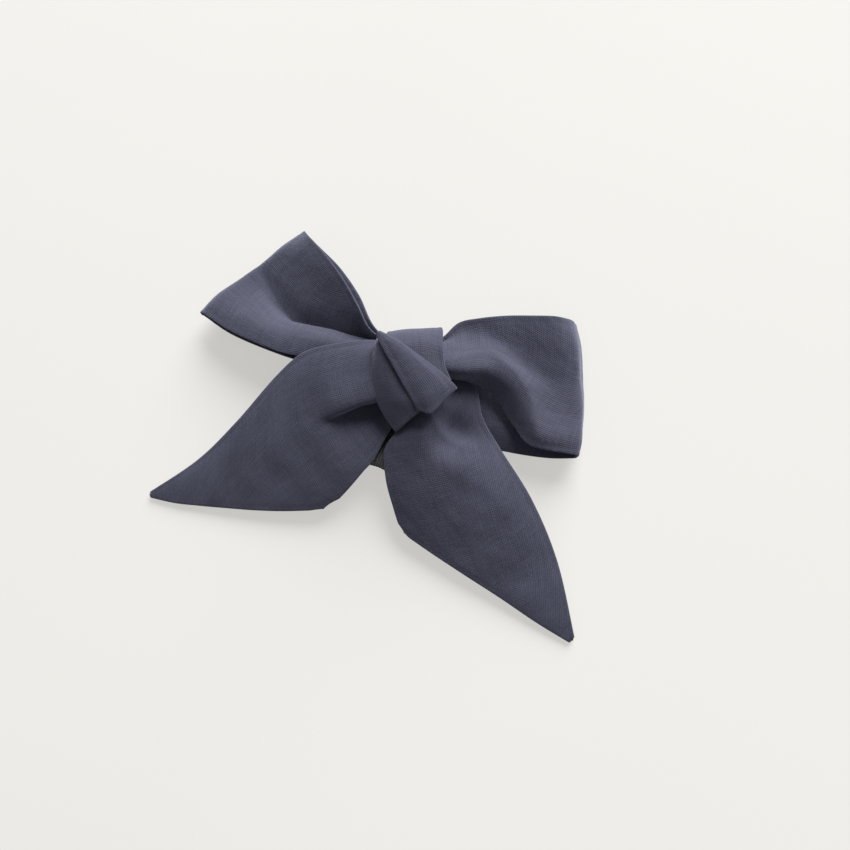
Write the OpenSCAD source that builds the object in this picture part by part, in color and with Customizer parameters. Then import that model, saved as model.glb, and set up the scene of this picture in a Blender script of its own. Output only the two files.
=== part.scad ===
// Linen hair bow on a ribbon-lined spring clip.
// Millimetres, +Z up. The clip's lower arm lies flat on Z = 0 under the knot.
// +X runs along the right loop, +Y points to the top of the bow.

/* [Cloth] */
// Thickness of the turned strip, two layers of linen
cloth_t = 1.2; // [0.8:0.1:1.4]
// Cells along each loop's cloth
loop_cells = 36; // [24:2:48]
// Cells along each tail and each wrap of the knot
strip_cells = 18; // [12:2:24]
// Cells across the strip
cross_cells = 12; // [8:2:16]

/* [Clip] */
// Length of each arm, from bite to lever end
clip_len = 46; // [40:1:50]
// Width of the arms
arm_w = 8; // [7:0.5:9]
// Thickness of the sheet steel
steel_t = 0.7; // [0.5:0.1:0.9]
// Angle between the closed arms, in degrees
arm_angle = 8; // [7:0.5:9]
// Distance from bite to hinge pin
hinge_back = 26; // [24:1:28]
// Radius of the hinge pin
pin_r = 0.9; // [0.7:0.1:1]

/* [Ribbon] */
// Width of the ribbon under the bow
ribbon_top_w = 14; // [12:1:16]
// Width of the ribbon under the lower arm
ribbon_jaw_w = 10; // [9:1:12]
// Thickness of the ribbon
ribbon_t = 0.5; // [0.4:0.1:0.6]
// Distance from the bite back to the front end of each ribbon
ribbon_back = 2.5; // [1:0.5:4]
// Length of the ribbon end folded inside each lever
ribbon_fold = 8; // [6:1:10]

/* [Hidden] */

tip_y = 13;                                  // Y of the bite, the front end of both arms
bite_gap = 2;                                // height of the upper arm's underside at the bite
jaw_z = ribbon_t;                            // underside of the lower arm
pin_y = tip_y - hinge_back;
pin_z = 3.4;
ear_r = 2;
ear_t = 0.7;
run_gap = 0.05;                              // radial clearance of the turning ears
jaw_ear_x = arm_w / 2 - ear_t;               // inner face of the lower arm's ears
arm_ear_x = jaw_ear_x - 0.3 - ear_t;         // inner face of the upper arm's ears
tooth_pitch = 2;
tooth_rows = 4;
wire_r = 0.3;
coil_r = 1.5;
coil_turns = 5;
linen = [0.26, 0.27, 0.33];
linen_dark = [0.2, 0.2, 0.26];
black = [0.12, 0.12, 0.13];
steel = [0.72, 0.73, 0.75];

// Height of the upper arm's underside over a point y.
function arm_z(y) = bite_gap + (tip_y - y) * tan(arm_angle);

// ---- Smooth sheets through a net of points ----

// Catmull-Rom blend between b and c.
function blend(a, b, c, d, t) = 0.5 * (2 * b + (c - a) * t
    + (2 * a - 5 * b + 4 * c - d) * t * t + (3 * b - a - 3 * c + d) * t * t * t);

// Point at s, from 0 to 1, on the curve through the points p.
function along(p, s) = let (
    last = len(p) - 1, x = s * last, i = min(floor(x), last - 1),
    before = i > 0 ? p[i - 1] : 2 * p[0] - p[1],
    after = i < last - 1 ? p[i + 2] : 2 * p[last] - p[last - 1])
    blend(before, p[i], p[i + 1], after, x - i);

// Grid of points on the sheet through the rows of net, nu cells along and nv across.
function sheet_grid(net, nu, nv) = let (
    rows = [for (row = net) [for (j = [0:nv]) along(row, j / nv)]])
    [for (i = [0:nu]) [for (j = [0:nv]) along([for (r = rows) r[j]], i / nu)]];

function unit(v) = v / max(norm(v), 0.0001);

// Normal of grid g at cell corner i, j.
function grid_normal(g, i, j) = let (nu = len(g) - 1, nv = len(g[0]) - 1)
    unit(cross(g[min(i + 1, nu)][j] - g[max(i - 1, 0)][j],
               g[i][min(j + 1, nv)] - g[i][max(j - 1, 0)]));

// Closed shell of thickness t round the sheet through net.
module sheet(net, nu, nv, t = cloth_t) {
    g = sheet_grid(net, nu, nv);
    row = nv + 1;
    side = (nu + 1) * row;
    points = [for (s = [1, -1]) for (i = [0:nu]) for (j = [0:nv])
        g[i][j] + s * t / 2 * grid_normal(g, i, j)];
    cells = [for (i = [0:nu - 1]) for (j = [0:nv - 1]) i * row + j];
    rim = concat([for (j = [0:nv - 1]) [j, j + 1]],
                 [for (i = [0:nu - 1]) [i * row + nv, (i + 1) * row + nv]],
                 [for (j = [0:nv - 1]) [nu * row + nv - j, nu * row + nv - j - 1]],
                 [for (i = [0:nu - 1]) [(nu - i) * row, (nu - i - 1) * row]]);
    polyhedron(points, concat(
        [for (k = cells) [k, k + 1, k + row + 1]],
        [for (k = cells) [k, k + row + 1, k + row]],
        [for (k = cells) [side + k, side + k + row + 1, side + k + 1]],
        [for (k = cells) [side + k, side + k + row, side + k + row + 1]],
        [for (e = rim) [e[1], e[0], side + e[0]]],
        [for (e = rim) [e[1], side + e[0], side + e[1]]]), convexity = 8);
}

// ---- Nets of the cloth: rows run along the strip, points run across it ----

// From the knot along the front, round the outer fold and back behind; upper edge first.
left_loop_net = [
    [[-5, 4.5, 12.5], [-5, 4, 12.2], [-5, 3.3, 11.8], [-5, 2.5, 11.5], [-5, 1.5, 12.3], [-5, -1, 12],
     [-5, -4, 11]],
    [[-14.5, 6.3, 14], [-14.4, 5.6, 12.4], [-14.2, 4.8, 10.8], [-13.7, 3.3, 9.6], [-13.6, 3.4, 11.2],
     [-13, 0.5, 13.2], [-13, -4, 11.5]],
    [[-21.6, 12.4, 14.5], [-21.5, 9.6, 12.5], [-21.8, 6.3, 10.2], [-21.9, 2, 8.4], [-21.2, 2.6, 11],
     [-21, -1.5, 13.7], [-21.5, -6.5, 11.5]],
    [[-29, 18.4, 14], [-29.2, 13.8, 12], [-29.6, 8.3, 9.6], [-30.3, 0.6, 7.2], [-29.6, 2, 10.8],
     [-30, -2, 13.6], [-31, -8.5, 12.6]],
    [[-37.4, 23.8, 13.4], [-37.6, 17.5, 11.4], [-38.3, 9.7, 8.6], [-39.3, 0.6, 6.4], [-38.5, 0.5, 10.6],
     [-38.8, -3.6, 12.7], [-40, -10, 12.4]],
    [[-43.5, 27, 12], [-44.8, 20, 10.2], [-46.5, 12.5, 8], [-48.6, 4.2, 6], [-47.4, 0, 9.8],
     [-48, -4.2, 12], [-50, -10, 12]],
    [[-47.2, 28.8, 10.4], [-50.6, 21.5, 8.8], [-53.6, 14.5, 7], [-55.8, 8.4, 6], [-56.4, 2.4, 8.6],
     [-57.6, -3.6, 11], [-60, -9.2, 10.8]],
    [[-49.7, 30.2, 8], [-54.4, 23.3, 7.2], [-58.6, 16.6, 6.2], [-62, 10.9, 6.2], [-66, 4.1, 7.6],
     [-69.4, -2.4, 8.6], [-71.8, -6.8, 8.2]],
    [[-50.6, 30.7, 5.2], [-55.5, 23.8, 5], [-59.9, 17, 4.5], [-63.4, 11.2, 4.5], [-67.5, 4.3, 5.3],
     [-70.8, -2.3, 6.2], [-72.6, -7.2, 6.6]],
    [[-49.6, 30, 3.8], [-54.7, 22.2, 3.4], [-59.2, 14.6, 3], [-63.2, 7.8, 2.7], [-67, 1, 3],
     [-69.7, -4, 4.6], [-71.4, -7.3, 6.2]],
    [[-44, 27.6, 4], [-46.5, 19.5, 3.2], [-49.2, 11.2, 2.8], [-52, 3.5, 2.7], [-54.8, -2.4, 2.8],
     [-57, -6.2, 4.4], [-58.8, -10, 8.6]],
    [[-34.5, 23.2, 5], [-35.5, 16, 4], [-37, 9, 3.5], [-38.5, 3, 3.3], [-39.5, -2, 3.2],
     [-40.3, -6.4, 4.6], [-40.6, -10.6, 9.8]],
    [[-24.5, 16.5, 6.8], [-25, 12, 6], [-25.7, 7.5, 5.5], [-26.5, 3, 5.3], [-27.2, -1, 4.8],
     [-28, -5.5, 5], [-28.5, -9.4, 8.6]],
    [[-15.5, 8.5, 9.5], [-15.3, 7, 8.8], [-15, 4.8, 8.3], [-14.8, 2.5, 8], [-14.7, 0, 7.8],
     [-14.8, -3.5, 7.6], [-15, -7, 7.2]],
    [[-5, 4, 9.5], [-5, 3.3, 9.3], [-5, 2.5, 9.1], [-5, 1, 9], [-5, -1, 8.8], [-5, -3, 8.6], [-5, -5, 8.3]]
];
right_loop_net = [
    [[5, 8, 13], [5, 7, 14], [5, 6, 15], [5, 5, 15.5], [5, 3.5, 15.5], [5, 2, 15], [5, 0.5, 14]],
    [[8, 12.5, 12.2], [8.5, 10.8, 12], [9.3, 9, 14.2], [10.2, 6.7, 16.2], [11.4, 4.2, 17.8],
     [12.8, 1.9, 17.6], [13.8, 0.6, 14.5]],
    [[11, 18.3, 12], [13, 16, 11.8], [14.4, 13.6, 13], [16, 10.2, 15.4], [17.7, 7, 17.8], [19.4, 3.9, 18],
     [20.3, 2, 14]],
    [[16.7, 21.7, 12.8], [19, 19, 12.2], [20.4, 16.2, 12.4], [21.6, 13.4, 13.8], [22.8, 10.4, 15.6],
     [24.4, 6.4, 16.2], [24.9, 2.4, 12]],
    [[24.4, 25.1, 13.6], [26.3, 20.5, 13], [27.2, 16.8, 12.5], [27.9, 13.6, 13.1], [28.8, 10.6, 14.6],
     [30.6, 5.8, 14], [28.8, 1.4, 9.8]],
    [[32.6, 28, 14], [34.7, 22.4, 12.8], [36, 17.2, 11.4], [36.9, 12.2, 10.6], [37.2, 7.8, 12.2],
     [36.8, 2.4, 12.2], [33.6, -2, 8.8]],
    [[38.2, 30, 13.4], [41.5, 23.8, 12], [43.5, 17.4, 10.4], [44.6, 10.8, 9.1], [44.2, 3.6, 9.9],
     [42.6, -2.2, 10.7], [39, -5.8, 8.2]],
    [[41.6, 31, 11.4], [45.4, 25, 10.6], [48.3, 17.7, 9.4], [50.4, 10.4, 8.3], [51, 3, 8.3],
     [49.2, -4.6, 10.3], [46, -9.4, 9.2]],
    [[43.5, 31.6, 8.8], [47.2, 25.4, 8.8], [50.6, 18.3, 8.2], [53.6, 11, 7.6], [56.2, 3.6, 7.8],
     [58, -2.4, 9], [59, -7.2, 9]],
    [[44.2, 31.8, 5.6], [48, 25.6, 5.4], [51.5, 18.4, 5.2], [54.6, 11, 5.1], [57.4, 3.5, 5.1],
     [59.2, -2.6, 5.4], [59.8, -7.4, 5.6]],
    [[44, 31.5, 3.7], [48, 25, 3.3], [51.5, 18, 3], [53.8, 10.8, 2.8], [56.4, 3.2, 2.7], [58, -3, 2.8],
     [58.6, -8, 3.2]],
    [[35, 30, 4.2], [38, 23.5, 3.3], [41, 16.5, 2.8], [43.7, 9.5, 2.6], [46.3, 2.5, 2.6],
     [48.8, -4.5, 2.8], [50.8, -10.8, 2.6]],
    [[24, 26, 5], [26.5, 20, 4], [29, 13.5, 3.5], [31.5, 7, 3.4], [34.3, 0.2, 4], [37.2, -6.8, 5.4],
     [39.5, -13.3, 3.2]],
    [[16, 22, 7], [18, 17, 6.2], [20.5, 11, 5.8], [23, 5, 6.4], [25.5, -1.5, 7.6], [28.5, -8, 7],
     [31, -14, 4]],
    [[9.8, 16.5, 9], [11.5, 13, 8.6], [13.5, 8.5, 8.4], [15.5, 3.5, 8.8], [17.6, -0.5, 9.6],
     [19.8, -4.5, 9.4], [21, -10, 7]],
    [[5, 7, 9.5], [5, 6, 9.3], [5, 4.5, 9.2], [5, 2, 9], [5, -0.5, 8.8], [5, -3, 8.5], [5, -5, 8.3]]
];
// From the knot to the slanted cut end; long edge first.
left_tail_net = [
    [[-4, 3.5, 14], [-4.5, 1, 15], [-4.5, -3, 15.5], [-3, -8, 15.3], [-3.5, -6.5, 11.5], [-2, -9, 11],
     [0, -11, 11.2], [2, -12.5, 11.5]],
    [[-11.5, 3.6, 14.5], [-10.5, 0, 15.8], [-9, -5.5, 16.2], [-4, -13.2, 15.8], [-3.2, -11.5, 10],
     [-2, -14.5, 9], [0.2, -17, 10], [2.8, -19, 11.6]],
    [[-22, -1.3, 14.9], [-19.5, -4.5, 15.4], [-16, -9.5, 15.6], [-10, -17.6, 15.3], [-8.6, -16, 10.2],
     [-6.8, -19.8, 9], [-2.5, -22.4, 10], [2, -24.5, 11.2]],
    [[-32, -7.8, 13.8], [-28.5, -11, 14.2], [-24, -15, 14.2], [-17, -22.8, 13.6], [-15, -23.4, 11],
     [-11.5, -25.8, 10], [-5.5, -28.5, 10.4], [1, -31.5, 10.6]],
    [[-38.5, -18, 11.4], [-34, -20.5, 12], [-28.5, -23.5, 12.1], [-22, -27.2, 11.9], [-18, -29, 11.2],
     [-13.5, -31, 10.6], [-7, -34, 10.3], [-0.8, -36, 10]],
    [[-46.5, -36.5, 7.8], [-41, -37.2, 8.5], [-35, -38, 9], [-29, -38.8, 9], [-23, -39.5, 8.7],
     [-16.5, -40.5, 8.6], [-9.5, -41.5, 8.6], [-3.2, -42, 8.4]],
    [[-55.5, -53, 4], [-49, -52, 5], [-42, -51, 5.6], [-35, -50.3, 6], [-27.5, -49.8, 6], [-20, -49, 6.2],
     [-12.5, -48.2, 6.4], [-5.8, -47.5, 6.4]],
    [[-69.3, -70.8, 1], [-58.5, -69, 1.5], [-49.5, -66.5, 2], [-40.5, -63.8, 2.6], [-31.5, -61, 3.2],
     [-23, -58, 3.8], [-14.5, -54.5, 4.4], [-8.2, -51.8, 5]]
];
right_tail_net = [
    [[8, -1, 12.5], [8, -3, 13.5], [7, -6, 14], [5.5, -8, 14], [4, -10, 13.3], [2.5, -12, 12.2]],
    [[21.5, 1.8, 10], [19.2, -3.5, 11.8], [16.2, -7.6, 13], [13.2, -10, 13.6], [10.4, -12.4, 13.6],
     [6.6, -14.2, 12.4]],
    [[28.6, -7.2, 10.4], [25.2, -10.4, 10.2], [20.8, -13.6, 11.4], [15.5, -17, 15.2], [10.5, -19, 15],
     [5.4, -21, 13.6]],
    [[37.3, -14.3, 9.5], [32.5, -18, 11.2], [26.5, -21.5, 13.2], [18.5, -24, 13.4], [11, -26, 13],
     [4, -27.5, 12.2]],
    [[52, -25.5, 7], [43.5, -29.5, 9], [34.5, -32.5, 10], [25.5, -34.5, 10.3], [16, -35.5, 10.4],
     [7.5, -36, 10]],
    [[66, -40.5, 4], [55, -43, 5.3], [44, -44, 6.2], [33.5, -44.5, 6.7], [22.5, -44.5, 6.8],
     [12.5, -43.5, 7]],
    [[80.2, -62, 1], [66.5, -59.8, 1.8], [53.5, -57, 2.7], [40.5, -54.5, 3.6], [28, -52, 4.2],
     [17, -49.5, 4.8]]
];
// Round the bundle, from behind it over its top and down its front; left edge first.
knot_band_net = [
    [[-8, -2, 7.2], [-3, -1, 7], [3, 1, 6.9], [8, 3, 7]],
    [[-8.5, 4, 8], [-3, 6, 7.4], [3, 9, 7.2], [7.5, 10.5, 7.8]],
    [[-8.5, 7, 12.5], [-3, 10, 12.5], [2.2, 12.2, 12.5], [6.2, 14.2, 12.5]],
    [[-8, 6.8, 17.5], [-3, 9, 18.1], [2, 11.2, 17.9], [7.6, 13.6, 16.9]],
    [[-7, 2.5, 20.8], [-1, 5, 21.4], [4.5, 7.5, 21.1], [10, 8.8, 19.8]],
    [[-4, -2.5, 20.8], [2, -0.5, 21.5], [7.5, 2, 21.2], [12.4, 3.8, 19.4]],
    [[0, -7, 19.8], [5, -5, 20.8], [10.5, -2.5, 20.5], [16, -0.2, 18]]
];
// From the left shoulder of the knot to its lower tip; outer edge first.
knot_underwrap_net = [
    [[-10.5, 5.6, 17], [-9.8, 5.8, 18.5], [-9, 5.8, 19.8], [-8, 5.8, 20.6]],
    [[-10.4, 2, 17.2], [-8.8, 1.8, 19.6], [-6.5, 2, 21.2], [-3.5, 2.6, 21.8]],
    [[-9.4, -3.2, 16.8], [-7, -3.2, 19.4], [-3.5, -3, 21.2], [0.5, -2, 21.9]],
    [[-7, -9, 16.2], [-3.8, -8.8, 18.8], [0, -8, 20.9], [4.8, -6, 21.7]],
    [[-3.4, -14, 16], [0.2, -13.2, 18.4], [4, -11.8, 20.3], [8.3, -9, 21.2]],
    [[0.8, -17.8, 15.4], [3.6, -16.4, 17.3], [6.8, -14.2, 18.9], [10.5, -11.2, 20.2]],
    [[5.3, -20.7, 15], [6.9, -18.6, 16.6], [8.8, -15.6, 18.2], [11.2, -12.2, 19.7]]
];
// From its pointed shoulder to the folded lower right end; left edge first.
knot_flap_net = [
    [[-10.3, 5, 21], [-10.1, 5.3, 21.3], [-9.9, 5.6, 21.4], [-9.6, 5.9, 21.2]],
    [[-6.5, 1.6, 22.4], [-5.2, 3.2, 23], [-4, 4.5, 23.1], [-2.8, 5, 22.6]],
    [[-1.8, -2.1, 22.9], [0.3, 0.4, 23.8], [2, 2.4, 23.9], [3.5, 3.3, 23.2]],
    [[3.5, -6.6, 22.6], [6.5, -3.5, 23.8], [9, -0.5, 23.8], [11, 1.2, 22.5]],
    [[8, -10.2, 21.4], [11.5, -7.5, 22.6], [14, -3.5, 22.6], [15.8, -0.5, 21.4]],
    [[10.5, -12.4, 20.3], [14.6, -11.8, 20.6], [16.6, -6.8, 21], [18.9, -2, 20.4]]
];

// ---- Clip ----

// Frame of the upper arm: origin on its underside at the bite, lever end towards -Y.
module in_arm_frame() {
    translate([0, tip_y, bite_gap]) rotate([-arm_angle, 0, 0]) children();
}

// Outline of an arm or ribbon of width w and length len, with rounded ends.
module arm_outline(w, len, tip_w) {
    lever_r = w / 2;
    tip_r = tip_w / 2;
    union() {
        polygon([[-tip_r, -tip_r], [tip_r, -tip_r], [w / 2, -hinge_back / 2],
                 [w / 2, lever_r - len], [-w / 2, lever_r - len], [-w / 2, -hinge_back / 2]]);
        translate([0, -tip_r]) circle(r = tip_r, $fn = 48);
        translate([0, lever_r - len]) circle(r = lever_r, $fn = 48);
    }
}

// A pair of round-ended ears round the pin, from x to x + ear_t on each side.
module ear_pair(x) {
    for (side = [0, 1]) mirror([side, 0, 0])
        translate([x, pin_y, pin_z]) rotate([0, 90, 0]) cylinder(r = ear_r, h = ear_t, $fn = 48);
}

module pin_hole(r) {
    translate([-arm_w, pin_y, pin_z]) rotate([0, 90, 0]) cylinder(r = r, h = 2 * arm_w, $fn = 48);
}

module clip_top_arm() {
    ear_y = -hinge_back / cos(arm_angle);
    color(steel) difference() {
        union() {
            in_arm_frame() linear_extrude(steel_t) arm_outline(arm_w, clip_len, arm_w - 3);
            in_arm_frame() for (side = [0, 1]) mirror([side, 0, 0])
                translate([arm_ear_x, ear_y - 1.9, -2]) cube([ear_t, 3.8, 2.1]);
            ear_pair(arm_ear_x);
        }
        pin_hole(pin_r);
    }
}

// Saw-toothed rail along each side of the bite.
module bite_teeth() {
    base = jaw_z + steel_t;
    start = tip_y - 2.5;
    for (side = [-1, 1]) translate([side * 1.9 - 0.3, 0, 0]) rotate([90, 0, 90])
        linear_extrude(0.6) for (k = [0:tooth_rows - 1]) {
            y = start - k * tooth_pitch;
            polygon([[y, base - 0.1], [y - tooth_pitch + 0.1, base - 0.1],
                     [y - tooth_pitch + 0.1, base + 0.2], [y - tooth_pitch / 2, arm_z(y) - 0.35]]);
        }
}

module clip_jaw() {
    color(steel) difference() {
        union() {
            translate([0, tip_y, jaw_z]) linear_extrude(steel_t) arm_outline(arm_w, clip_len, arm_w - 3);
            for (side = [0, 1]) mirror([side, 0, 0])
                translate([jaw_ear_x, pin_y - ear_r, jaw_z]) cube([ear_t, 2 * ear_r, pin_z - jaw_z]);
            ear_pair(jaw_ear_x);
            bite_teeth();
        }
        pin_hole(pin_r + run_gap);
    }
}

module hinge_pin() {
    reach = arm_w / 2 + 0.15;
    head_r = pin_r + 0.5;
    color(steel) translate([0, pin_y, pin_z]) rotate([0, 90, 0]) rotate_extrude($fn = 48)
        polygon([[0, -reach - 0.5], [head_r - 0.2, -reach - 0.5], [head_r, -reach - 0.3], [head_r, -reach],
                 [pin_r, -reach], [pin_r, reach], [head_r, reach], [head_r, reach + 0.3],
                 [head_r - 0.2, reach + 0.5], [0, reach + 0.5]]);
}

// Centre line of the spring: leg on the lower arm, coil round the pin, leg under the upper arm.
function spring_path() = let (
    half = coil_turns * (2 * wire_r + 0.06) / 2,
    steps = coil_turns * 12,
    leg_y = pin_y - 8)
    concat(
        [[-half, leg_y, jaw_z + steel_t + wire_r + 0.05], [-half, pin_y - 1, pin_z - coil_r]],
        [for (k = [0:steps + 6]) let (a = 270 + k * 30)
            [-half + k / (steps + 6) * 2 * half, pin_y + coil_r * cos(a), pin_z + coil_r * sin(a)]],
        [[half, pin_y - 1, pin_z + coil_r], [half, leg_y, arm_z(leg_y) - wire_r - 0.05]]);

// Round wire of radius r along the points p.
module wire(p, r, sides) {
    n = len(p);
    ring = [for (i = [0:n - 1]) let (
        d = unit(p[min(i + 1, n - 1)] - p[max(i - 1, 0)]),
        a = unit(cross(d, [1, 0, 0.01])),
        b = cross(d, a)) for (k = [0:sides - 1]) let (q = 360 * k / sides)
        p[i] + r * (cos(q) * a + sin(q) * b)];
    walls = [for (i = [0:n - 2]) for (k = [0:sides - 1]) [i * sides + k, i * sides + (k + 1) % sides]];
    polyhedron(ring, concat(
        [[for (k = [0:sides - 1]) k]],
        [for (e = walls) [e[1], e[0], e[1] + sides]],
        [for (e = walls) [e[1] + sides, e[0], e[0] + sides]],
        [[for (k = [0:sides - 1]) n * sides - 1 - k]]), convexity = 8);
}

module clip_spring() {
    color(steel) wire(spring_path(), wire_r, 6);
}

// ---- Lining and fixing ----

// Ribbon outline of width w, square at both ends.
module ribbon_strip(w, len) {
    translate([-w / 2, -len, 0]) cube([w, len, ribbon_t]);
}

module ribbon_top() {
    len = clip_len + ribbon_t;
    color(black) in_arm_frame() {
        translate([0, -ribbon_back, steel_t]) ribbon_strip(ribbon_top_w, len - ribbon_back);
        translate([-ribbon_top_w / 2, -len, -ribbon_t]) cube([ribbon_top_w, ribbon_t, steel_t + 2 * ribbon_t]);
        translate([0, ribbon_fold - clip_len, -ribbon_t]) ribbon_strip(ribbon_top_w, ribbon_fold + ribbon_t);
    }
}

module ribbon_jaw() {
    len = clip_len + ribbon_t;
    color(black) translate([0, tip_y, 0]) {
        translate([0, -ribbon_back, 0]) ribbon_strip(ribbon_jaw_w, len - ribbon_back);
        translate([-ribbon_jaw_w / 2, -len, 0]) cube([ribbon_jaw_w, ribbon_t, steel_t + 2 * ribbon_t]);
        translate([0, ribbon_fold - clip_len, jaw_z + steel_t]) ribbon_strip(ribbon_jaw_w, ribbon_fold + ribbon_t);
    }
}

// Set glue between the ribbon and the back of the knot.
module glue_pad() {
    color("ivory") in_arm_frame() translate([0, -hinge_back / 2 - 1, steel_t + ribbon_t]) hull()
        for (y = [-5, 5]) translate([0, y, 0]) cylinder(r1 = 5, r2 = 4.5, h = 0.9, $fn = 32);
}

// Three short stitches that hold the end of the knot's wrap to the bundle behind.
module tack_thread() {
    color(linen_dark) for (x = [-3, 0, 3])
        wire([[x, -4.5, 9], [x, -4.2, 7], [x, -3.2, 6.1], [x, -0.8, 6.1], [x, 0.2, 6.9], [x, 0.4, 9]], 0.25, 6);
}

// ---- Knot ----

// The gathered strips where they cross inside the knot.
module knot_core() {
    color(linen_dark) hull() {
        for (x = [-3.5, 4]) translate([x, -1, 11]) sphere(r = 3, $fn = 32);
        translate([-1, 1.5, 15.5]) sphere(r = 3, $fn = 32);
        translate([3, 4, 15.5]) sphere(r = 3, $fn = 32);
        translate([2, -5, 14]) sphere(r = 3, $fn = 32);
    }
}

module knot_band() {
    color(linen) sheet(knot_band_net, strip_cells, cross_cells);
}

module knot_underwrap() {
    color(linen) sheet(knot_underwrap_net, strip_cells, cross_cells);
}

module knot_flap() {
    color(linen) sheet(knot_flap_net, strip_cells, cross_cells);
}

// ---- Loops and tails ----

module left_loop() {
    color(linen_dark) sheet(left_loop_net, loop_cells, cross_cells);
}

module right_loop() {
    color(linen) sheet(right_loop_net, loop_cells, cross_cells);
}

module left_tail() {
    color(linen) sheet(left_tail_net, strip_cells, cross_cells);
}

module right_tail() {
    color(linen) sheet(right_tail_net, strip_cells, cross_cells);
}

clip_top_arm();
clip_jaw();
hinge_pin();
clip_spring();
ribbon_top();
ribbon_jaw();
glue_pad();
tack_thread();
knot_core();
knot_band();
knot_underwrap();
knot_flap();
left_loop();
right_loop();
left_tail();
right_tail();
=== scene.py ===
import math

import bpy
import numpy as np
from mathutils import Matrix, Vector


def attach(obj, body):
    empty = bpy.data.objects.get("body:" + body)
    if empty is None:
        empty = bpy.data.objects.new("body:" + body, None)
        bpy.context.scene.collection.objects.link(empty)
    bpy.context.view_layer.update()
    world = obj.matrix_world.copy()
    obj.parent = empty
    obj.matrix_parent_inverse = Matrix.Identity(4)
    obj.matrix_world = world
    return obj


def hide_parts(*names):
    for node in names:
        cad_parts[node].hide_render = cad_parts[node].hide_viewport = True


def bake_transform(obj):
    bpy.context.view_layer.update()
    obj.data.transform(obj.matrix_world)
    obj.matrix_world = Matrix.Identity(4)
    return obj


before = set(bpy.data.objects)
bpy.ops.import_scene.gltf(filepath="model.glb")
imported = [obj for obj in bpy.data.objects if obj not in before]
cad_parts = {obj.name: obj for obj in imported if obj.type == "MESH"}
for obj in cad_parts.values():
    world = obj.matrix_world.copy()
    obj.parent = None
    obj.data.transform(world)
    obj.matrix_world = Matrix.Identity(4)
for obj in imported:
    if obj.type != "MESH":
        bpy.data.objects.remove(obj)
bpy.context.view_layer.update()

MM = 0.001

# ---------------------------------------------------------------- cloth sizes, millimetres
CLOTH_T = 0.9         # thickness of its two layers, away from the edges
EDGE_T = 0.62         # thickness at the pressed edges
CELL = 0.8            # mesh cell on the loops and tails
FINE_CELL = 0.45      # mesh cell on the knot
RIM_STEPS = 5         # cells round a pressed edge
PRESSED = 2.2         # distance over which the pressing fades away from an edge
SEAM_IN = 1.5         # distance from the edge to the dip where the turned seam ends
SEAM_HALF = 0.5       # half the width of that dip
SEAM_DIP = 0.14       # depth of that dip
CALM = 4.0            # distance from an edge over which the soft waves grow
LONG_WAVE = 16.0
SHORT_WAVE = 6.0
UV_UNIT = 10.0        # cloth length to one unit of the "strip" coordinates

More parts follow.
